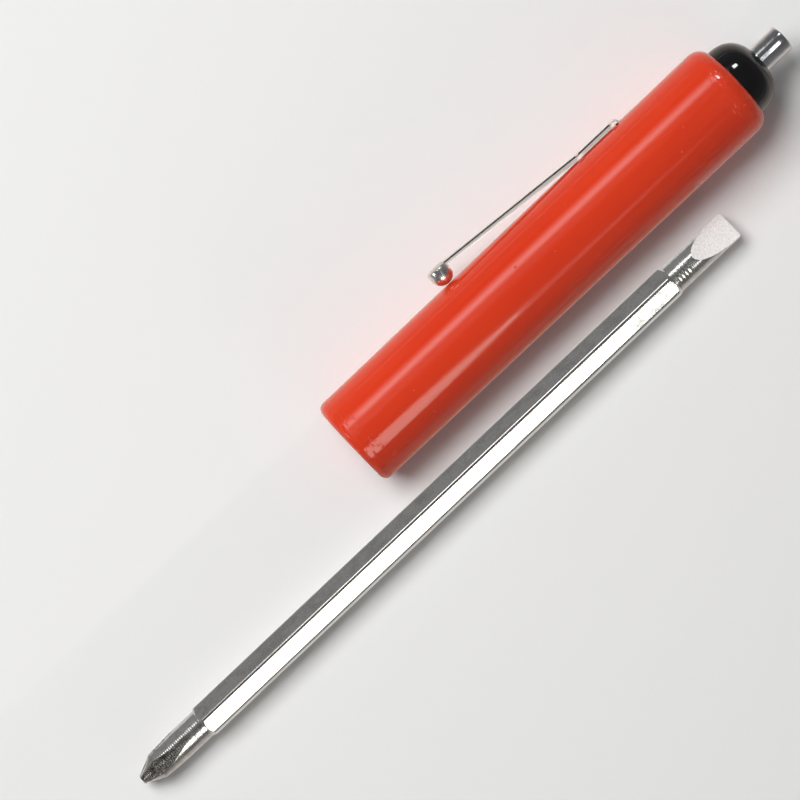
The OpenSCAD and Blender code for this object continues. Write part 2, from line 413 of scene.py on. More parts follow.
@dataclass(frozen=True)
class TurnedSteel:
    """Steel turned or milled round the X axis, with rings that come and go and stains towards its dark
    colour, which on the flutes is dark enough to be painted shade.
    """

    name: str
    colour: Colour
    dark: Colour
    roughness: float
    pitch: float
    ring_relief: float
    patchy: float = 0.5
    grit: float = 0.0
    waver: Grain = Grain(0.5)
    patches: Grain = Grain(0.55, (0.5, 1.0, 1.0), 3.0)
    patch_start: float = -0.1
    patch_stop: float = 0.12
    scratches: Grain = Grain(1.4, (4.0, 0.7, 0.7), 4.0, 0.65)
    stains_and_shade: Grain = Grain(0.8, detail=4.0, rough=0.65, step=(0.4, 0.7))
    sand: Grain = Grain(2.2, detail=4.0, rough=0.7)
    stain_and_shade_share: float = 0.8
    scratch_dulls: float = 0.14
    ring_dulls: float = 0.06

    def build(self) -> Material:
        """Make the material.

        Returns:
            The material.
        """
        material, g = new_material(self.name)
        p = g.place()
        scratch = self.scratches.over(g, p)
        ring = ((g.part(p, 0) + self.waver.over(g, p) * self.pitch) * (FULL_TURN / self.pitch)).sine()
        where = self.patches.over(g, p).rise(self.patchy + self.patch_start, self.patchy + self.patch_stop)
        # The stain pattern tints towards the dark colour: real stains on the necks, painted shade in the
        # flutes.
        colour = g.tint(self.stains_and_shade.over(g, p) * self.stain_and_shade_share, self.colour, self.dark)
        relief = ring * where * self.ring_relief + scratch * self.ring_relief
        if self.grit:
            relief = relief + self.sand.over(g, p) * self.grit
        rough = self.roughness + scratch * self.scratch_dulls + where * self.ring_dulls
        g.surface({"Base Color": colour, "Metallic": 1.0, "Roughness": rough, "Normal": g.bump(relief)})
        return material


@dataclass(frozen=True)
class TablePaper:
    """Matt pale paper with a faint tooth."""

    name: str
    colour: Colour
    shaded: Colour
    roughness: float = 0.85
    clouds: Grain = Grain(0.004)
    tooth: Grain = Grain(1.2, detail=3.0)
    tooth_relief: float = 0.004

    def build(self) -> Material:
        """Make the material.

        Returns:
            The material.
        """
        material, g = new_material(self.name)
        p = g.place()
        colour = g.tint(self.clouds.over(g, p), self.shaded, self.colour)
        relief = self.tooth.over(g, p) * self.tooth_relief
        g.surface({"Base Color": colour, "Roughness": self.roughness, "Normal": g.bump(relief)})
        return material


class Cut(Enum):
    """What a tool does to a blank."""

    TAKE_OUT = "DIFFERENCE"
    KEEP_COMMON = "INTERSECT"
    ADD = "UNION"


def mesh_object(name: str, points: Sequence[Sequence[float]], faces: Sequence[Sequence[int]]) -> Piece:
    """Make a mesh object from points and faces.

    Args:
        name: The object's name.
        points: Its corners in metres.
        faces: The corners' numbers round each face.

    Returns:
        The object, linked to the scene.
    """
    mesh = bpy.data.meshes.new(name)
    mesh.from_pydata([tuple(p) for p in points], [], [tuple(f) for f in faces])
    mesh.validate()
    mesh.update()
    thing = bpy.data.objects.new(name, mesh)
    bpy.context.scene.collection.objects.link(thing)
    return thing


def lathe(name: str, outline: Outline, sides: int,
          ripple: Callable[[float, float, float], float] | None = None) -> Piece:
    """Turn an outline about the X axis.

    Args:
        name: The object's name.
        outline: Stations and radii in millimetres, round the section.
        sides: How many flats make the circle.
        ripple: Gives an extra radius from station, radius and angle.

    Returns:
        The closed turned piece.
    """
    points, rings = [], []
    for x, r in outline:
        count = sides if r > 0 else 1
        rings.append(range(len(points), len(points) + count))
        for k in range(count):
            angle = FULL_TURN * k / sides
            radius = r + (ripple(x, r, angle) if ripple else 0.0)
            points.append((x * MM, radius * math.cos(angle) * MM, radius * math.sin(angle) * MM))
    faces = []
    pairs = list(zip(rings, rings[1:]))
    if outline[0][1] > 0 and outline[-1][1] > 0:
        pairs.append((rings[-1], rings[0]))
    for a, b in pairs:
        for k in range(sides):
            corners = [a[k % len(a)], a[(k + 1) % len(a)], b[(k + 1) % len(b)], b[k % len(b)]]
            faces.append(list(dict.fromkeys(corners)))
    return mesh_object(name, points, [f for f in faces if len(f) > 2])


def prism(name: str, outline: Outline, low: float, high: float) -> Piece:
    """Raise a flat outline of X and Y along Z.

    Args:
        name: The object's name.
        outline: Corners in millimetres.
        low: Lowest Z in millimetres.
        high: Highest Z in millimetres.

    Returns:
        The closed prism.
    """
    count = len(outline)
    points = [(x * MM, y * MM, z * MM) for z in (low, high) for x, y in outline]
    faces = [list(range(count))[::-1], list(range(count, 2 * count))]
    faces += [(k, (k + 1) % count, count + (k + 1) % count, count + k) for k in range(count)]
    return mesh_object(name, points, faces)


def arc(centre: tuple[float, float], radius: float, start: float, stop: float, steps: int = 10) -> Outline:
    """Points along an arc.

    Args:
        centre: Its middle in millimetres.
        radius: Its radius in millimetres.
        start: First angle in degrees.
        stop: Last angle in degrees.
        steps: How many chords it has.

    Returns:
        The points, both ends among them.
    """
    angles = [math.radians(start + (stop - start) * k / steps) for k in range(steps + 1)]
    return [(centre[0] + radius * math.cos(a), centre[1] + radius * math.sin(a)) for a in angles]


def run(start: float, stop: float, steps: int) -> list[float]:
    """Evenly spaced values, both ends among them."""
    return [start + (stop - start) * k / steps for k in range(steps + 1)]


def place_mesh(thing: Piece, matrix: Matrix) -> Piece:
    """Move a piece's mesh, with its object left at the origin.

    Args:
        thing: The piece.
        matrix: The move, in metres.

    Returns:
        The piece.
    """
    thing.data.transform(matrix)
    thing.data.update()
    return thing


def drop_loose(thing: Piece) -> Piece:
    """Delete the points that no face uses.

    Args:
        thing: The piece.

    Returns:
        The piece.
    """
    shape = bmesh.new()
    shape.from_mesh(thing.data)
    bmesh.ops.delete(shape, geom=[v for v in shape.verts if not v.link_faces], context="VERTS")
    shape.to_mesh(thing.data)
    shape.free()
    return thing


def face_out(thing: Piece) -> Piece:
    """Turn a closed mesh's faces outwards.

    Args:
        thing: The piece.

    Returns:
        The piece.
    """
    shape = bmesh.new()
    shape.from_mesh(thing.data)
    bmesh.ops.recalc_face_normals(shape, faces=shape.faces)
    shape.to_mesh(thing.data)
    shape.free()
    return thing


def dress(thing: Piece, *materials: Material) -> Piece:
    """Give a piece its materials in order, which leaves a new mesh's choice of them face by face.

    Args:
        thing: The piece.
        materials: Its materials, which replace any that it had.

    Returns:
        The piece.
    """
    if len(thing.data.materials):
        thing.data.materials.clear()
    for material in materials:
        thing.data.materials.append(material)
    return thing


def apply_modifiers(thing: Piece) -> None:
    """Write a piece's modifiers into its mesh.

    Args:
        thing: The piece.
    """
    graph = bpy.context.evaluated_depsgraph_get()
    mesh = bpy.data.meshes.new_from_object(thing.evaluated_get(graph), depsgraph=graph)
    old = thing.data
    thing.modifiers.clear()
    thing.data = mesh
    bpy.data.meshes.remove(old)


def carve(blank: Piece, tool: Piece, cut: Cut) -> Piece:
    """Cut a blank with a tool, whose material stays on the faces that it cuts.

    Args:
        blank: The piece.
        tool: The tool, which is used up.
        cut: What the tool does.

    Returns:
        The cut piece.
    """
    modifier = blank.modifiers.new("carve", "BOOLEAN")
    modifier.operation = cut.value
    modifier.object = tool
    modifier.solver = "MANIFOLD"
    modifier.material_mode = "TRANSFER"
    apply_modifiers(blank)
    mesh = tool.data
    bpy.data.objects.remove(tool)
    bpy.data.meshes.remove(mesh)
    return blank


def shade(thing: Piece, sharp_degrees: float) -> Piece:
    """Smooth a piece, with edges above an angle left sharp.

    Args:
        thing: The piece.
        sharp_degrees: The least angle of a sharp edge.

    Returns:
        The piece.
    """
    thing.data.polygons.foreach_set("use_smooth", [True] * len(thing.data.polygons))
    thing.data.set_sharp_from_angle(angle=math.radians(sharp_degrees))
    thing.data.update()
    return thing


def weigh_normals(thing: Piece) -> Piece:
    """Let large faces set the normals at their edges, so that they stay flat beside a rounding.

    Args:
        thing: The piece, smoothed.

    Returns:
        The piece.
    """
    modifier = thing.modifiers.new("normals", "WEIGHTED_NORMAL")
    modifier.keep_sharp = True
    apply_modifiers(thing)
    return thing


def break_edges(thing: Piece, width: float, sharp_degrees: float) -> Piece:
    """Round the sharp edges of a piece.

    Args:
        thing: The piece.
        width: Width of the rounding in millimetres.
        sharp_degrees: The least angle of a sharp edge.

    Returns:
        The piece.
    """
    modifier = thing.modifiers.new("edges", "BEVEL")
    modifier.width = width * MM
    modifier.segments = 2
    modifier.limit_method = "ANGLE"
    modifier.angle_limit = math.radians(sharp_degrees)
    modifier.use_clamp_overlap = True
    modifier.harden_normals = False
    apply_modifiers(thing)
    return thing


def mount(thing: Piece, node: str, body: str) -> Piece:
    """Let a finished piece stand for its CAD node.

    Args:
        thing: The piece.
        node: The node that it stands for.
        body: The body that it rides on.

    Returns:
        The piece.
    """
    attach(thing, body)
    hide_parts(node)
    LOG.info("%s rides on %s, %d faces", thing.name, body, len(thing.data.polygons))
    return thing


@dataclass
class Hexagon:
    """The hexagonal bar's section and turn, which the socket shares."""

    flats: float = 6.35
    play: float = 0.05
    turn: float = 22.0
    sides: int = 6

    def half_side(self) -> float:
        """Half of one side's angle, in degrees."""
        return 180 / self.sides

    def corner(self, extra: float = 0.0) -> float:
        """Radius to a corner, with extra on each flat."""
        return (self.flats / 2 + extra) / math.cos(math.radians(self.half_side()))

    def bar(self, name: str, start: float, stop: float, extra: float = 0.0, rounding: float = 0.0,
            steps: int = 8) -> Piece:
        """A hexagonal bar on the X axis, whose rounded corners take its second material.

        Args:
            name: The bar's name.
            start: Its low end in millimetres.
            stop: Its high end.
            extra: Added to each flat.
            rounding: Radius of its corners, or 0 for sharp ones.
            steps: How many chords each rounding has.

        Returns:
            The closed bar.
        """
        if not rounding:
            steps = 0
        middle = self.corner(extra) - rounding / math.cos(math.radians(self.half_side()))
        section = []
        for k in range(self.sides):
            way = 90 + self.turn + (2 * k + 1) * self.half_side()
            centre = arc((0.0, 0.0), middle, way, way, 1)[0]
            corner = arc(centre, rounding, way - self.half_side(), way + self.half_side(), steps or 1)
            section += corner[:steps + 1]
        bar = prism(name, [(-z, y) for y, z in section], start, stop)
        for k in range(len(section)):
            bar.data.polygons[k + 2].material_index = 1 if k % (steps + 1) < steps else 0
        return face_out(place_mesh(bar, Matrix.Rotation(math.pi / 2, 4, "Y")))


@dataclass
class Barrel:
    """The moulded handle: a slightly tapered barrel, its socket, the crown's pocket and the clip's slot."""

    hexagon: Hexagon
    mouth_radius: float = 9.35
    mouth_round: float = 1.6
    top_round: float = 2.2
    top_run: float = 3.0
    lead: float = 0.4
    lead_gap: float = 0.004
    pocket_radius: float = 5.52
    pocket_depth: float = 12.05
    socket_floor: float = 4.4
    leaf_width: float = 2.6
    leaf_start: float = 5.0
    leaf_length: float = 34.0
    leaf_play: float = 0.1
    leaf_sheet: float = 0.35
    groove_depth: float = 0.9
    hook_depth: float = 0.9
    groove_start: float = 0.5
    overrun: float = 1.0
    sides: int = 288
    mouth_steps: int = 14
    wall_rings: int = 24
    top_steps: int = 18
    sharp: float = 32.0

    def __post_init__(self) -> None:
        """Take the length and the top's radius from the frame."""
        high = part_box("handle_barrel")[1]
        self.length = high.x / MM
        self.top_radius = high.y / MM

    def radius_at(self, x: float) -> float:
        """Radius of the wall at a station, in millimetres."""
        return self.mouth_radius + (self.top_radius - self.mouth_radius) * x / self.length

    def outline(self) -> Outline:
        """Draw the section from the socket's mouth over the wall to the pocket's floor.

        Returns:
            Stations and radii in millimetres.
        """
        corner = self.hexagon.corner(self.hexagon.play)
        pocket = self.length - self.pocket_depth
        mouth = arc((self.mouth_round, self.mouth_radius - self.mouth_round), self.mouth_round, 180, 90,
                    self.mouth_steps)
        wall = [(x, self.radius_at(x)) for x in
                run(self.mouth_round, self.length - self.top_run, self.wall_rings)[1:-1]]
        stretch = self.top_run / self.top_round
        top = [(self.length - self.top_run + x * stretch, self.top_radius - self.top_round + r) for x, r in
               arc((0.0, 0.0), self.top_round, 90, 0, self.top_steps)]
        lead = [(self.lead, 0.0), (self.lead, corner + self.lead_gap), (0.0, corner + self.lead)]
        return lead + mouth + wall + top + [
            (self.length, self.pocket_radius), (pocket, self.pocket_radius), (pocket, 0.0)]

    def leaf_groove(self) -> list[Piece]:
        """Shape the tools that cut the groove for the leaf and the notch for its hook.

        Returns:
            The two tools.
        """
        half = self.leaf_width / 2
        floor = self.hexagon.flats / 2 + self.hexagon.play + self.groove_depth
        turn = Matrix.Rotation(math.radians(self.hexagon.turn - 4 * self.hexagon.half_side()), 4, "X")
        cuts = (("groove", -self.overrun, self.leaf_start + self.leaf_length + self.leaf_play, floor),
                ("hook", self.leaf_start - self.leaf_play, self.leaf_start + self.leaf_sheet + self.leaf_play,
                 floor + self.hook_depth))
        return [place_mesh(prism(name, [(start, -half), (stop, -half), (stop, half), (start, half)],
                                 self.groove_start, deep), turn) for name, start, stop, deep in cuts]

    def build(self, plastic: Material, clip: "PocketClip") -> Piece:
        """Turn the barrel and cut its socket, groove and slot.

        Args:
            plastic: Its material.
            clip: The clip, which gives its tab slot.

        Returns:
            The finished barrel.
        """
        barrel = dress(face_out(lathe("barrel", self.outline(), self.sides)), plastic)
        socket_end = self.length - self.pocket_depth - self.socket_floor
        cuts = [self.hexagon.bar("socket", -self.overrun, socket_end, self.hexagon.play)]
        for tool in cuts + self.leaf_groove() + [clip.slot(self)]:
            carve(barrel, dress(tool, plastic), Cut.TAKE_OUT)
        weigh_normals(shade(barrel, self.sharp))
        return mount(barrel, "handle_barrel", "handle")


@dataclass
class Crown:
    """The black dome with its ribbed plug, which is pressed into the barrel."""

    base: float = 98.4
    radius: float = 7.425
    fullness: float = 2.55
    plug_radius: float = 5.5
    plug_length: float = 12.0
    plug_chamfer: float = 0.6
    rib_height: float = 0.06
    rib_width: float = 0.8
    rib_count: int = 6
    bore_radius: float = 2.83
    bore_start: float = 98.4
    bore_lead: float = 0.12
    sides: int = 240
    steps: int = 40
    sharp: float = 40.0

    def __post_init__(self) -> None:
        """Take the dome's height from the frame."""
        self.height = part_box("top_cap")[1].x / MM - self.base

    def dome(self) -> Outline:
        """Draw the dome's section from its rim to the magnet's bore.

        Returns:
            Stations and radii in millimetres.
        """
        points = []
        for angle in run(0.0, math.pi / 2, self.steps):
            r = self.radius * math.cos(angle) ** (2 / self.fullness)
            x = self.base + self.height * math.sin(angle) ** (2 / self.fullness)
            if r > self.bore_radius + self.bore_lead:
                points.append((x, r))
        return points

    def ripple(self, x: float, r: float, angle: float) -> float:
        """Raise the crush ribs on the plug's wall.

        Args:
            x: Station in millimetres.
            r: Radius there.
            angle: Place round the axis in radians.

        Returns:
            The extra radius.
        """
        on_wall = r == self.plug_radius and x < self.base
        part = math.remainder(angle, FULL_TURN / self.rib_count) * self.plug_radius
        return self.rib_height if on_wall and abs(part) < self.rib_width / 2 else 0.0

    def build(self, plastic: Material) -> Piece:
        """Turn the crown.

        Args:
            plastic: Its material.

        Returns:
            The finished crown.
        """
        start = self.base - self.plug_length
        top = self.dome()
        rim = top[-1][0] + self.bore_lead / 3
        outline = [(start, 0.0), (start, self.plug_radius - self.plug_chamfer),
                   (start + self.plug_chamfer, self.plug_radius),
                   (self.base - self.plug_chamfer, self.plug_radius), (self.base, self.plug_radius)]
        outline += top
        outline += [(rim, self.bore_radius + self.bore_lead / 3), (rim - self.bore_lead, self.bore_radius),
                    (self.bore_start, self.bore_radius), (self.bore_start, 0.0)]
        crown = dress(face_out(lathe("crown", outline, self.sides, self.ripple)), plastic)
        shade(crown, self.sharp)
        return mount(crown, "top_cap", "handle")


@dataclass
class Magnet:
    """The plated magnet that stands out of the crown."""

    start_bevel: float = 0.3
    end_round: float = 0.65
    sides: int = 160
    steps: int = 10
    sharp: float = 40.0

    def build(self, plating: Material) -> Piece:
        """Turn the magnet.

        Args:
            plating: Its material.

        Returns:
            The finished magnet.
        """
        low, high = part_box("magnet")
        start, stop, radius = low.x / MM, high.x / MM, high.y / MM
        outline = [(start, 0.0), (start, radius - self.start_bevel), (start + self.start_bevel, radius)]
        wall = run(start + self.start_bevel, stop - self.end_round, self.steps)[1:-1]
        outline += [(x, radius) for x in wall]
        outline += arc((stop - self.end_round, radius - self.end_round), self.end_round, 90, 0, self.steps)
        outline.append((stop, 0.0))
        magnet = dress(face_out(lathe("magnet_bar", outline, self.sides)), plating)
        weigh_normals(shade(magnet, self.sharp))
        return mount(magnet, "magnet", "handle")


@dataclass
class PocketClip:
    """The stamped spring clip: tab, curl, channel back, knee, channel arm and ball end.

    It is drawn with Y out of the barrel and Z across the strip, and then turned about the X axis.
    """

    turn: float = 8.0
    end: float = 77.8
    sheet: float = 0.4
    width: float = 2.4
    back_height: float = 1.08
    back_length: float = 10.1
    bare_length: float = 1.9
    arm_length: float = 33.6
    arm_side_knee: float = 1.0
    arm_side_ball: float = 0.8
    arm_run_out: float = 0.45
    back_side: float = 0.83
    back_run_in: float = 0.7
    side_end: float = 0.03
    side_step: float = 0.08
    notch: float = 0.7
    bend: float = 0.3
    curl: float = 0.9
    edge_round: float = 0.05
    edge_angle: float = 50.0
    tab_depth: float = 3.2
    slot_play: float = 0.12
    slot_swing: float = 0.4
    slot_deep: float = 0.3
    slot_height: float = 6.0
    ball_radius: float = 2.29
    ball_height: float = 3.95
    ball_gap: float = 0.1
    ball_tuck: float = 0.13
    belly_share: float = 0.55
    wall_share: float = 0.84
    lip_start: float = 0.16
    lip_round: float = 0.06
    lip_lean: float = 0.01
    crown_power: float = 0.77
    crown_start: float = 0.12
    ball_sides: int = 96
    belly_steps: int = 20
    crown_steps: int = 16
    arm_steps: int = 40
    run_out_steps: int = 6
    run_in_steps: int = 5
    back_steps: int = 10
    curl_steps: int = 12
    bend_steps: int = 4
    side_columns: int = 2
    sharp: float = 38.0

    def __post_init__(self) -> None:
        """Work out the stations of the knee, the ball and the ends of the sides."""
        self.knee = self.end - self.back_length
        self.ball_middle = self.knee - self.arm_length
        self.arm_end = self.knee - self.notch / 2
        self.back_start = self.knee + self.notch / 2
        self.bare = self.end - self.bare_length

    def turned(self) -> Matrix:
        """The clip's turn about the handle's axis."""
        return Matrix.Rotation(math.radians(self.turn), 4, "X")

    def slot(self, barrel: Barrel) -> Piece:
        """Shape the tool that cuts the slot for the tab.

        Args:
            barrel: The barrel that it is cut in.

        Returns:
            The tool.
        """
        half = self.width / 2 + self.slot_play
        low = self.end - self.sheet - self.slot_play - self.slot_swing
        high = self.end + self.slot_play
        floor = barrel.radius_at(self.end) - self.tab_depth - self.slot_deep
        top = floor + self.slot_height
        tool = prism("tab_slot", [(low, floor), (high, floor), (high, top), (low, top)], -half, half)
        return place_mesh(tool, self.turned())

    def side_depth(self, x: float) -> float:
        """Work out how far the strip's sides reach below its back.

        Args:
            x: Station in millimetres.

        Returns:
            The depth in millimetres, or 0 where it has no sides.
        """
        least = self.bend + self.side_end
        if x <= self.arm_end:
            share = (x - self.ball_middle) / (self.knee - self.ball_middle)
            depth = self.arm_side_ball + (self.arm_side_knee - self.arm_side_ball) * share
            run_out = min(1.0, (self.arm_end - x) / self.arm_run_out)
            return least + (depth - least) * math.sqrt(1 - (1 - run_out) ** 2)
        if self.back_start <= x <= self.bare:
            return least + (self.back_side - least) * min(1.0, (x - self.back_start) / self.back_run_in)
        return 0.0

    def stations(self, barrel: Barrel) -> list[tuple[float, float, float, float]]:
        """Follow the strip's outer face from the ball over the knee and the curl to the tab.

        Args:
            barrel: The barrel that it sits on.

        Returns:
            X, Y, the way inwards in degrees and the sides' depth at each place.
        """
        wall = barrel.radius_at(self.end)
        back = wall + self.back_height
        top = barrel.radius_at(self.ball_middle) + self.ball_gap + self.ball_height - self.ball_tuck
        slope = (top - back) / self.arm_length
        lean = math.degrees(math.atan(slope))
        step = self.side_step
        full = self.arm_end - self.arm_run_out
        stops = run(self.ball_middle, full, self.arm_steps) + run(full, self.arm_end, self.run_out_steps)[1:]
        places = [(x, back + (self.knee - x) * slope, -90 - lean, self.side_depth(x)) for x in stops]
        places.append((self.arm_end + step, back + (self.knee - self.arm_end) * slope, -90 - lean, 0.0))
        places += [(self.knee, back, -90 - lean / 2, 0.0), (self.back_start - step, back, -90, 0.0)]
        full = self.back_start + self.back_run_in
        stops = run(self.back_start, full, self.run_in_steps) + run(full, self.bare, self.back_steps)[1:]
        places += [(x, back, -90, self.side_depth(x)) for x in stops]
        places.append((self.bare + step, back, -90, 0.0))
        curl = arc((self.end - self.curl, back - self.curl), self.curl, 90, 0, self.curl_steps)
        places += [(x, y, -90 - 90 * k / self.curl_steps, 0.0) for k, (x, y) in enumerate(curl)]
        places.append((self.end, wall - self.tab_depth, 180, 0.0))
        return places

    def section(self, depth: float) -> Outline:
        """Draw the strip's section, from one side's edge to the other's.

        Args:
            depth: Depth of the sides, or 0 where it has none.

        Returns:
            The way across and the way in of each column.
        """
        half, bend = self.width / 2, self.bend
        if depth > 0:
            corner = arc((half - bend, bend), bend, 0, -90, self.bend_steps)
            side = [(half, depth), (half, (depth + bend) / 2)] + corner
        else:
            flat = run(half, half - bend, self.bend_steps)
            side = [(half, 0.0)] * self.side_columns + [(across, 0.0) for across in flat]
        return [(-across, down) for across, down in side] + [(0.0, 0.0)] + side[::-1]

    def strip(self, barrel: Barrel) -> Piece:
        """Fold the strip as a sheet of the metal's thickness, whose folds take its second material: a
        near-black plating that paints shade into the bends.

        Args:
            barrel: The barrel that it sits on.

        Returns:
            The closed strip.
        """
        places = self.stations(barrel)
        points, faces, shaded_folds = [], [], []
        columns = len(self.section(1.0))
        for x, y, inward, depth in places:
            way = (math.cos(math.radians(inward)), math.sin(math.radians(inward)))
            for across, down in self.section(depth):
                points.append(((x + way[0] * down) * MM, (y + way[1] * down) * MM, across * MM))
        for row in range(len(places) - 1):
            folded = places[row][3] > 0 and places[row + 1][3] > 0
            for k in range(columns - 1):
                from_edge = min(k, columns - 2 - k)
                if folded or from_edge >= self.side_columns:
                    a = row * columns + k
                    faces.append((a, a + 1, a + columns + 1, a + columns))
                    # The channel's bend faces take the dark second material: painted shade in the folds.
                    in_bend = self.side_columns <= from_edge < self.side_columns + self.bend_steps
                    shaded_folds.append(int(folded and in_bend))
        sheet = mesh_object("clip_strip", points, faces)
        sheet.data.polygons.foreach_set("material_index", shaded_folds)
        drop_loose(sheet)
        modifier = sheet.modifiers.new("sheet", "SOLIDIFY")
        modifier.thickness = self.sheet * MM
        modifier.offset = -1.0
        modifier.use_even_offset = True
        apply_modifiers(sheet)
        return sheet

    def ball(self, barrel: Barrel) -> Piece:
        """Turn the ball: a round belly, an upright wall, a small lip and a shallow crown.

        Args:
            barrel: The barrel that it touches.

        Returns:
            The closed ball.
        """
        low = barrel.radius_at(self.ball_middle) + self.ball_gap
        belly = self.ball_height * self.belly_share
        wall = low + self.ball_height * self.wall_share
        rise = low + self.ball_height - wall
        rim = self.ball_radius - self.lip_round
        section = [(low + belly - belly * math.sin(a), self.ball_radius * math.cos(a))
                   for a in run(math.pi / 2, 0.0, self.belly_steps)]
        section[0] = (low, 0.0)
        section += [(wall - self.lip_start, self.ball_radius - self.lip_lean), (wall - self.lip_round, rim)]
        section += [(wall + rise * math.sin(a) ** self.crown_power, rim * math.cos(a) ** self.crown_power)
                    for a in run(self.crown_start, math.pi / 2, self.crown_steps)]
        section[-1] = (low + self.ball_height, 0.0)
        ball = lathe("clip_ball", section, self.ball_sides)
        upright = Matrix.Translation((self.ball_middle * MM, 0, 0)) @ Matrix.Rotation(math.pi / 2, 4, "Z")
        return face_out(place_mesh(ball, upright))

    def build(self, barrel: Barrel, plating: Material, fold_shade: Material,
              polish: Material) -> Piece:
        """Fold the strip, join its ball and round the metal's edges.

        Args:
            barrel: The barrel that it sits on.
            plating: The strip's material.
            fold_shade: The material of its folds, near-black as painted shade.
            polish: The ball's material.

        Returns:
            The finished clip.
        """
        strip = dress(face_out(self.strip(barrel)), plating, fold_shade)
        break_edges(strip, self.edge_round, self.edge_angle)
        ball = dress(self.ball(barrel), polish)
        clip = carve(strip, ball, Cut.ADD)
        clip.name = "clip"
        place_mesh(clip, self.turned())
        weigh_normals(shade(clip, self.sharp))
        return mount(clip, "pocket_clip", "clip")


@dataclass
class Blade:
    """The double-ended blade: a hexagonal bar with turned necks, a cross point and a flat tip."""

    hexagon: Hexagon
    corner_trim: float = 0.14
    bar_rounding: float = 0.9
    neck_step: float = 0.175
    shoulder_angle: float = 37.0
    cross_neck: float = 15.7
    flat_neck: float = 15.2
    point_radius: float = 1.15
    point_edge: float = 0.35
    point_angle: float = 26.5
    flute_core: float = 0.45
    flute_length: float = 11.3
    flute_floor: float = 0.4
    flute_wall: float = 45.0
    flute_wheel: float = 59.0
    flute_turn: float = 6.5
    flute_count: int = 4
    tip_thickness: float = 0.84
    tip_length: float = 9.7
    tip_wheel: float = 44.0
    tip_chamfer: float = 0.35
    ring_pitch: float = 0.46
    ring_depth: float = 0.045
    wide_ring_pitch: float = 0.8
    wide_ring_depth: float = 0.04
    wide_ring_skew: float = 0.45
    ring_least: float = 0.25
    ring_steps: int = 6
    ring_seed: int = 5
    overrun: float = 1.0
    nose_steps: int = 6
    sides: int = 360
    wheel_sides: int = 720
    sharp: float = 24.0

    def __post_init__(self) -> None:
        """Take the ends and the axis from the frame and work out the radii."""
        low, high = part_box("blade")
        self.start, self.end = low.x / MM, high.x / MM
        self.axis = Vector((0, (low.y + high.y) / 2, (low.z + high.z) / 2))
        self.neck = self.hexagon.flats / 2 - self.neck_step
        self.corner = self.hexagon.corner() - self.corner_trim
        self.shoulder = (self.corner - self.neck) / math.tan(math.radians(self.shoulder_angle))

    def outline(self) -> Outline:
        """Draw the turned blank's section, from the cross point to the flat tip.

        Returns:
            Stations and radii in millimetres.
        """
        edge = self.point_edge
        cross_end, flat_start = self.start + self.cross_neck, self.end - self.flat_neck
        cone = (self.neck - self.point_radius) / math.tan(math.radians(self.point_angle))
        cone_end = self.start + edge + cone
        nose = arc((self.start + edge, self.point_radius - edge), edge, 180, 90 + self.point_angle,
                   self.nose_steps)
        shape = [(self.start, 0.0)] + nose + [(cone_end, self.neck)]
        shape += self.rings(cone_end, cross_end, self.ring_depth, self.ring_pitch)
        shape += [(cross_end, self.neck), (cross_end + self.shoulder, self.corner),
                  (flat_start - self.shoulder, self.corner), (flat_start, self.neck)]
        shape += self.rings(flat_start, self.end - self.tip_length, self.wide_ring_depth,
                            self.wide_ring_pitch, self.wide_ring_skew)
        return shape + [(self.end - self.tip_chamfer, self.neck), (self.end, self.neck - self.tip_chamfer),
                        (self.end, 0.0)]

    def rings(self, start: float, stop: float, most: float, pitch: float, skew: float = 1.0) -> Outline:
        """Fine turning marks on a neck, each a little deeper or shallower.

        Args:
            start: Where they begin, in millimetres.
            stop: Where they end.
            most: The deepest mark.
            pitch: The way from one mark to the next.
            skew: Above 1, the side that looks to +X is the steeper one, and below 1 the other.

        Returns:
            Their stations and radii.
        """
        chance = random.Random(self.ring_seed)
        count = int((stop - start) / pitch) - 1
        points = []
        for k in range(count):
            depth = most * chance.uniform(self.ring_least, 1.0)
            for share in run(0.0, 1.0, self.ring_steps)[:-1]:
                dip = depth * (1 - math.cos(FULL_TURN * (1 - (1 - share) ** skew))) / 2
                points.append((start + (k + 0.5 + share) * pitch, self.neck - dip))
        return points

    @staticmethod
    def wheel_centre(a: tuple[float, float], b: tuple[float, float], radius: float) -> tuple[float, float]:
        """Centre of a grinding wheel above two points that it passes through.

        Args:
            a: First point, as station and height.
            b: Second point.
            radius: The wheel's radius.

        Returns:
            The centre's station and height.
        """
        dx, dz = b[0] - a[0], b[1] - a[1]
        span = math.hypot(dx, dz)
        offset = math.sqrt(radius ** 2 - span ** 2 / 4)
        return ((a[0] + b[0]) / 2 - dz / span * offset, (a[1] + b[1]) / 2 + dx / span * offset)

    def wheel(self, name: str, centre: tuple[float, float], section: Outline, turn: float) -> Piece:
        """A wheel on an axis across the blade, turned about the blade.

        Args:
            name: The tool's name.
            centre: Station and height of its centre.
            section: Places across the wheel and radii.
            turn: Turn about the blade's axis in degrees.

        Returns:
            The tool.
        """
        tool = lathe(name, section, self.wheel_sides)
        across = Matrix.Rotation(math.pi / 2, 4, "Z")
        place = Matrix.Translation((centre[0] * MM, 0, centre[1] * MM))
        return face_out(place_mesh(tool, Matrix.Rotation(math.radians(turn), 4, "X") @ place @ across))

    def flute(self, turn: float) -> Piece:
        """Shape the wheel with a V-shaped rim that grinds one flute.

        Args:
            turn: Its turn about the blade's axis in degrees.

        Returns:
            The tool.
        """
        reach = 2 * self.corner
        half = self.flute_floor / 2
        wide = half + reach * math.tan(math.radians(self.flute_wall))
        centre = self.wheel_centre((self.start, self.flute_core), (self.start + self.flute_length, self.neck),
                                   self.flute_wheel)
        inner = self.flute_wheel - reach
        section = [(-wide, 0.0), (-wide, inner), (-half, self.flute_wheel), (half, self.flute_wheel),
                   (wide, inner), (wide, 0.0)]
        return self.wheel("flute", centre, section, turn)

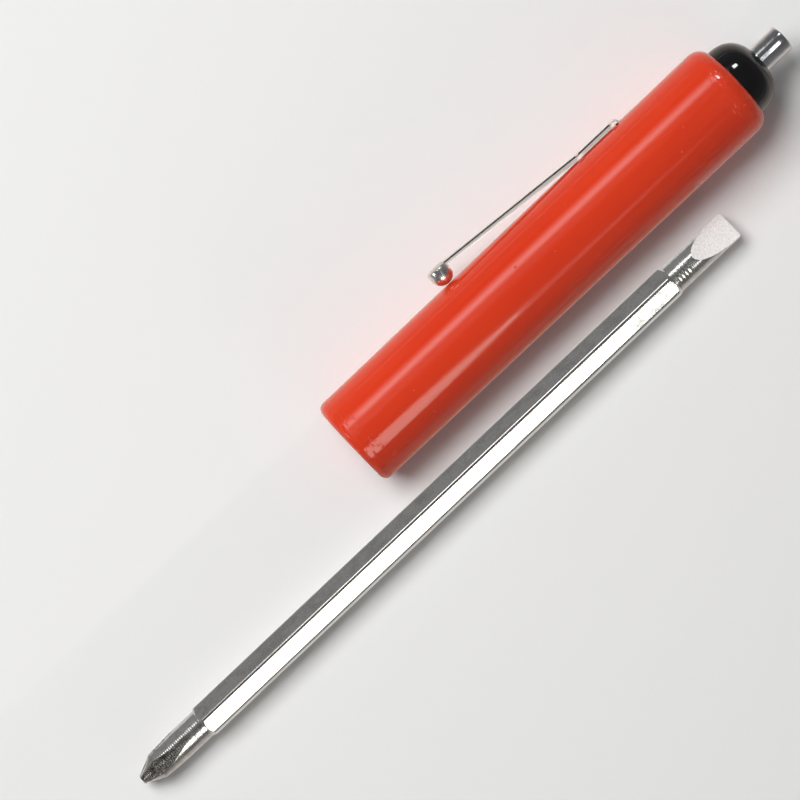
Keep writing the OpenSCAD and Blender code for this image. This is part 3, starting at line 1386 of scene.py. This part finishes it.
    def tip_cut(self, turn: float) -> Piece:
        """Shape the wheel that hollows one flat of the tip.

        Args:
            turn: Its turn about the blade's axis in degrees.

        Returns:
            The tool.
        """
        centre = self.wheel_centre((self.end - self.tip_length, self.neck),
                                   (self.end, self.tip_thickness / 2), self.tip_wheel)
        wide = 2 * self.neck
        section = [(-wide, 0.0), (-wide, self.tip_wheel), (wide, self.tip_wheel), (wide, 0.0)]
        return self.wheel("tip", centre, section, turn)

    def build(self, bar: Material, corner: Material, turned: Material,
              milled: Material, blasted: Material) -> Piece:
        """Turn the blank, cut its flats, and grind the flutes and the tip.

        Args:
            bar: Material of the drawn bar's flats.
            corner: Material of its worn corners.
            turned: Material of the necks.
            milled: Material of the flutes, whose near-black tone is painted shade.
            blasted: Material of the tip's flats.

        Returns:
            The finished blade.
        """
        blade = dress(face_out(lathe("blade_bar", self.outline(), self.sides)), turned, corner)
        low = (self.start + self.cross_neck + self.shoulder / 2) * MM
        high = (self.end - self.flat_neck - self.shoulder / 2) * MM
        for face in blade.data.polygons:
            face.material_index = 1 if low < face.center.x < high else 0
        flats = self.hexagon.bar("flats", self.start - self.overrun, self.end + self.overrun,
                                 rounding=self.bar_rounding)
        carve(blade, dress(flats, bar, corner), Cut.KEEP_COMMON)
        for k in range(self.flute_count):
            flute = self.flute(self.flute_turn + 360 * k / self.flute_count)
            carve(blade, dress(flute, milled), Cut.TAKE_OUT)
        tip_turn = self.hexagon.turn - self.hexagon.half_side()
        for turn in (tip_turn, tip_turn + 180):
            carve(blade, dress(self.tip_cut(turn), blasted), Cut.TAKE_OUT)
        place_mesh(blade, Matrix.Translation(self.axis))
        weigh_normals(shade(blade, self.sharp))
        return mount(blade, "blade", "blade")


class Seen(Enum):
    """Which rays meet a panel."""

    GLOSS = "in reflections alone"
    SURFACES = "by lit surfaces alone"


def tilted(x: float, degrees: float, reach: float = 1.0) -> Point:
    """A point at a distance from the handle's axis, leaning from straight up towards +Y."""
    lean = math.radians(degrees)
    return (x, reach * math.sin(lean), reach * math.cos(lean))


@dataclass(frozen=True)
class Lamp:
    """A square panel that faces the object: the way to it, its side in metres and its brightness."""

    way: Point
    side: float
    strength: float
    seen: Seen
    reach: float = 1.0

    def corners(self) -> list[Point]:
        """Work out where the panel's corners are.

        Returns:
            The four corners in metres.
        """
        way = Vector(self.way)
        centre = way.normalized() * self.reach
        across = way.cross(Vector((0, 0, 1))).normalized() * self.side / 2
        up = across.cross(way).normalized() * self.side / 2
        return [tuple(centre + a * across + b * up) for a, b in ((-1, -1), (1, -1), (1, 1), (-1, 1))]


@dataclass(frozen=True)
class Band:
    """A panel along the handle: its ends in metres, its leans in degrees and its brightness."""

    start: float
    stop: float
    low: float
    high: float
    strength: float
    reach: float = 1.0
    seen: Seen = Seen.GLOSS

    def corners(self) -> list[Point]:
        """Work out where the panel's corners are.

        Returns:
            The four corners in metres.
        """
        ends = ((self.start, self.low), (self.stop, self.low), (self.stop, self.high),
                (self.start, self.high))
        return [tilted(x, lean, self.reach) for x, lean in ends]


@dataclass
class Panel:
    """A flat studio light, which the camera doesn't see."""

    name: str
    corners: list[Point]
    strength: float
    seen: Seen = Seen.GLOSS
    colour: Colour = WHITE
    spread: Callable[[Value], Value] | None = None

    def build(self) -> Piece:
        """Make the panel and its glow, which its spread changes over the panel's width.

        Returns:
            The panel.
        """
        panel = mesh_object(self.name, self.corners, [range(len(self.corners))])
        material, g = new_material(self.name + "_glow")
        strength = self.strength
        if self.spread:
            along = g.part(g.make("ShaderNodeTexCoord", output="Generated"), 1)
            strength = self.spread(along) * self.strength
        glow = g.make("ShaderNodeEmission", inputs={"Color": self.colour, "Strength": strength})
        g.make("ShaderNodeOutputMaterial", inputs={"Surface": glow}, output=None)
        dress(panel, material)
        panel.visible_camera = False
        panel.visible_shadow = False
        panel.visible_glossy = self.seen is Seen.GLOSS
        panel.visible_diffuse = self.seen is Seen.SURFACES
        return panel


@dataclass
class Studio:
    """Camera straight above, pale paper, a dim room and soft panels."""

    eye: Point = (0.01243, -0.00016, 0.710)
    turn: float = -43.4
    focal_pixels: float = 3800.0
    frame_pixels: float = 800.0
    sensor: float = 36.0
    nearest: float = 0.01
    paper_size: float = 3.0
    room_top: float = 0.10
    room_side: float = 0.17
    room_rise: tuple[float, float] = (0.75, 0.1)
    key_light: Lamp = Lamp(tilted(-0.15, 28.0), 0.6, 9.0, Seen.SURFACES)
    fill_light: Lamp = Lamp((0.0, -1.0, 0.35), 0.4, 1.9, Seen.SURFACES)
    strip_light: Band = Band(-0.08, 0.214, 22, 64, 3.5)
    strip_fade: float = 0.38
    strip_power: float = 2.6
    corner_light: Band = Band(-0.135, -0.03, 24, 62, 1.5, 1.01)
    side_box: tuple[tuple[float, float], ...] = (
        (-0.45, -27.5), (-0.45, -56), (0.020, -56), (0.078, -45.5), (0.078, -42.5), (0.020, -32),
        (-0.010, -27.5))
    side_box_strength: float = 4.1
    side_box_colour: Colour = (1.0, 0.98, 0.90)
    side_slit: Band = Band(0.077, 0.142, -41.9, -46.6, 8.0)
    magnet_light: Band = Band(0.236, 0.256, 0, -28, 3.4)
    spot_top: Band = Band(0.36, 0.60, 31, 41, 25.0)
    spot_mouth: Lamp = Lamp((-0.78, 0.35, 0.52), 0.16, 18.0, Seen.GLOSS)
    handle_blind: Band = Band(0.0415, 0.097, -39.0, -43.5, room_top, 0.069)
    crown_blind: Band = Band(0.1035, 0.1115, 3.0, -33.0, room_top, 0.069)
    flag_gap: float = 0.0006
    flag_rise: float = 0.0022
    flag_reach: float = 0.09
    flag_strength: float = 0.26
    rim_rise: float = 0.001
    rim_strength: float = 0.75
    handle_card_strength: float = 0.72
    handle_card_colour: Colour = (1.0, 0.56, 0.43)
    card_width: float = 0.005
    card_lift: float = 0.0001
    card_strength: float = 0.66
    sheet_start: float = 0.008
    sheet_width: float = 0.22
    sheet_half: float = 0.5
    sheet_colour: Colour = (1.0, 0.90, 0.82)
    sheet_bright: float = 1.30
    sheet_fall: float = 1.33
    sheet_power: float = 0.35
    sheet_least: float = 0.14
    shade_run: float = 0.06
    shade_gain: float = 0.55
    shade_least: float = 0.3

    def camera(self) -> None:
        """Place the camera."""
        data = bpy.data.cameras.new("camera")
        data.sensor_width = self.sensor
        data.lens = self.focal_pixels * self.sensor / self.frame_pixels
        data.clip_start = self.nearest
        camera = bpy.data.objects.new("camera", data)
        camera.location = self.eye
        camera.rotation_euler = (0.0, 0.0, math.radians(self.turn))
        bpy.context.scene.collection.objects.link(camera)
        bpy.context.scene.camera = camera

    def paper(self, material: Material) -> None:
        """Lay the pale paper under the object.

        Args:
            material: The paper's material.
        """
        half = self.paper_size / 2
        corners = self.flat_corners(-half, half, -half, half, CAD_BOX[0].z)
        paper = dress(mesh_object("paper", corners, [(0, 1, 2, 3)]), material)

    def room(self) -> None:
        """Light the room: dim overhead and brighter towards the horizon."""
        world = bpy.data.worlds.new("room")
        world.use_nodes = True
        bpy.context.scene.world = world
        g = Graph(world.node_tree)
        height = g.part(g.make("ShaderNodeTexCoord", output="Generated"), 2)
        glow = height.rise(*self.room_rise) * (self.room_side - self.room_top) + self.room_top
        light = g.make("ShaderNodeBackground", inputs={"Color": WHITE, "Strength": glow})
        g.make("ShaderNodeOutputWorld", inputs={"Surface": light}, output=None)

    def hang(self, *names: str) -> None:
        """Hang the lamps and bands of these names.

        Args:
            names: Fields of the studio.
        """
        for name in names:
            light = getattr(self, name)
            Panel(name, light.corners(), light.strength, light.seen).build()

    def lights(self) -> None:
        """Hang the soft lights and the panels that show in the gloss."""
        self.hang("key_light", "fill_light")
        strip = self.strip_light
        Panel("strip_light", strip.corners(), strip.strength, spread=self.soft_sides).build()
        self.hang("corner_light")
        box = [tilted(x, lean) for x, lean in self.side_box]
        Panel("side_box", box, self.side_box_strength, colour=self.side_box_colour).build()
        self.hang("side_slit", "magnet_light", "spot_top", "spot_mouth")

    def cards(self) -> None:
        """Stand three cards by the blade and lay a card and two sheets on the paper."""
        low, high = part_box("blade")
        start, stop = low.x - self.flag_reach, high.x
        near, far, top, floor = high.y + self.flag_gap, low.y, high.z + self.flag_rise, CAD_BOX[0].z
        rim = (low.z + high.z) / 2 + self.rim_rise
        for name, y, foot, head, strength, colour in (
                ("flag", near, rim, top, self.flag_strength, WHITE),
                ("rim_card", near, floor, rim, self.rim_strength, WHITE),
                ("handle_card", near + self.flag_gap / 2, floor, top, self.handle_card_strength,
                 self.handle_card_colour)):
            corners = [(start, y, foot), (stop, y, foot), (stop, y, head), (start, y, head)]
            Panel(name, corners, strength, colour=colour).build()
        card = self.flat_corners(start, stop, far - self.card_width, far, floor + self.card_lift)
        Panel("white_card", card, self.card_strength).build()
        level = floor + self.card_lift / 2
        sheets = ((-1, "near_sheet", self.shaded_nearby), (1, "far_sheet", self.nearest_brightest))
        for side, name, spread in sheets:
            inner, outer = side * self.sheet_start, side * (self.sheet_start + self.sheet_width)
            sheet = self.flat_corners(-self.sheet_half, self.sheet_half, inner, outer, level)
            Panel(name, sheet, 1.0, colour=self.sheet_colour, spread=spread).build()

    @staticmethod
    def flat_corners(start: float, stop: float, first: float, last: float, level: float) -> list[Point]:
        """Corners of a level card.

        Args:
            start: Its low end along X.
            stop: Its high end.
            first: Y of its first side.
            last: Y of its last side.
            level: Its height.

        Returns:
            The four corners.
        """
        return [(start, first, level), (stop, first, level), (stop, last, level), (start, last, level)]

    def soft_sides(self, across: Value) -> Value:
        """Fade a strip towards both of its long sides."""
        return (across.rise(0.0, self.strip_fade) * across.rise(1.0, self.strip_fade)) ** self.strip_power

    def nearest_brightest(self, away: Value) -> Value:
        """Fade a sheet on the paper with the distance from the handle."""
        return (self.sheet_bright - self.sheet_fall * away ** self.sheet_power).most(self.sheet_least)

    def shaded_nearby(self, along: Value) -> Value:
        """Fade the sheet that begins at Y's high end, and hold it back right beside the handle.

        Args:
            along: Place along Y, from 0 at the low end to 1 beside the handle.

        Returns:
            The sheet's brightness there.
        """
        away = 1 - along
        held = away.rise(0.0, self.shade_run) * self.shade_gain + self.shade_least
        return self.nearest_brightest(away) * held

    def build(self) -> None:
        """Set the whole stage."""
        bpy.context.scene.view_settings.view_transform = "Standard"
        self.camera()
        self.paper(TablePaper("paper", colour=(0.865, 0.865, 0.86), shaded=(0.845, 0.845, 0.84)).build())
        self.room()
        self.lights()
        self.cards()
        self.hang("handle_blind", "crown_blind")


def main() -> None:
    """Build every sub-assembly and set the stage."""
    logging.basicConfig(level=logging.INFO)
    orange = GlossPlastic("orange_plastic", colour=(0.72, 0.047, 0.013), deep=(0.69, 0.042, 0.012),
                          roughness=0.11, peel=0.003, rim_low=0.0, rim_high=98.4)
    black = GlossPlastic("black_plastic", colour=(0.006, 0.006, 0.007), deep=(0.004, 0.004, 0.005),
                         roughness=0.07, peel=0.002, rim_low=86.0, rim_high=108.0, rim_relief=0.01,
                         nick_height=0.03)
    plating = PlatedSteel("nickel_plating", colour=(0.80, 0.80, 0.82), dull=(0.66, 0.66, 0.69),
                          marks=Marks.GROUND, roughness=0.06, spread=0.07, mark_relief=0.002)
    strip = PlatedSteel("clip_plating", colour=(0.93, 0.91, 0.88), dull=(0.84, 0.82, 0.79),
                        marks=Marks.STAMPED, roughness=0.30, spread=0.08, mark_relief=0.0006, metallic=0.65)
    # Painted shade: the clip's folds get a near-black plating that stands for the dark line in each bend.
    fold_shade = PlatedSteel("clip_fold_shade", colour=(0.13, 0.125, 0.12), dull=(0.09, 0.087, 0.084),
                       marks=Marks.STAMPED, roughness=0.12, spread=0.05, mark_relief=0.0004)
    polish = PlatedSteel("ball_plating", colour=(0.86, 0.85, 0.84), dull=(0.52, 0.51, 0.50),
                         marks=Marks.STAMPED, roughness=0.22, spread=0.10, mark_relief=0.05)
    # The bar's flats carry painted glints: white specks in their colour.
    bar = PlatedSteel("drawn_bar", colour=(0.72, 0.71, 0.69), dull=(0.50, 0.49, 0.47),
                      marks=Marks.DRAWN, roughness=0.13, spread=0.10, mark_relief=0.0012, painted_glint=0.5)
    corner = PlatedSteel("worn_corner", colour=(0.68, 0.67, 0.65), dull=(0.60, 0.59, 0.57),
                         marks=Marks.DRAWN, roughness=0.14, spread=0.06, mark_relief=0.001)
    turned = TurnedSteel("turned_neck", colour=(0.70, 0.69, 0.67), dark=(0.52, 0.51, 0.49),
                         roughness=0.12, pitch=0.34, ring_relief=0.002)
    # Painted shade: the flutes' near-black dark colour darkens the recesses.
    milled = TurnedSteel("milled_flute_shade", colour=(0.50, 0.48, 0.46), dark=(0.035, 0.033, 0.031),
                         roughness=0.14, pitch=0.5, ring_relief=0.02, patchy=0.36, grit=0.10)
    blasted = PlatedSteel("blasted_tip", colour=WHITE, dull=(0.80, 0.79, 0.78), marks=Marks.BLASTED,
                          roughness=0.5, spread=0.10, mark_relief=0.002, grain=3.2, grain_relief=0.006,
                          metallic=0.0, patchy=0.1)
    leaf = PlatedSteel("spring_leaf", colour=(0.30, 0.31, 0.34), dull=(0.18, 0.19, 0.22),
                       marks=Marks.DRAWN, roughness=0.3, spread=0.12, mark_relief=0.002)
    hexagon = Hexagon()
    barrel = Barrel(hexagon)
    clip = PocketClip()
    barrel.build(orange.build(), clip)
    Crown().build(black.build())
    Magnet().build(plating.build())
    clip.build(barrel, strip.build(), fold_shade.build(), polish.build())
    Blade(hexagon).build(bar.build(), corner.build(), turned.build(), milled.build(), blasted.build())
    spring = dress(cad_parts["blade_spring"], leaf.build())
    LOG.info("%s keeps its CAD shape", spring.name)
    Studio().build()


if __name__ == "__main__":
    main()
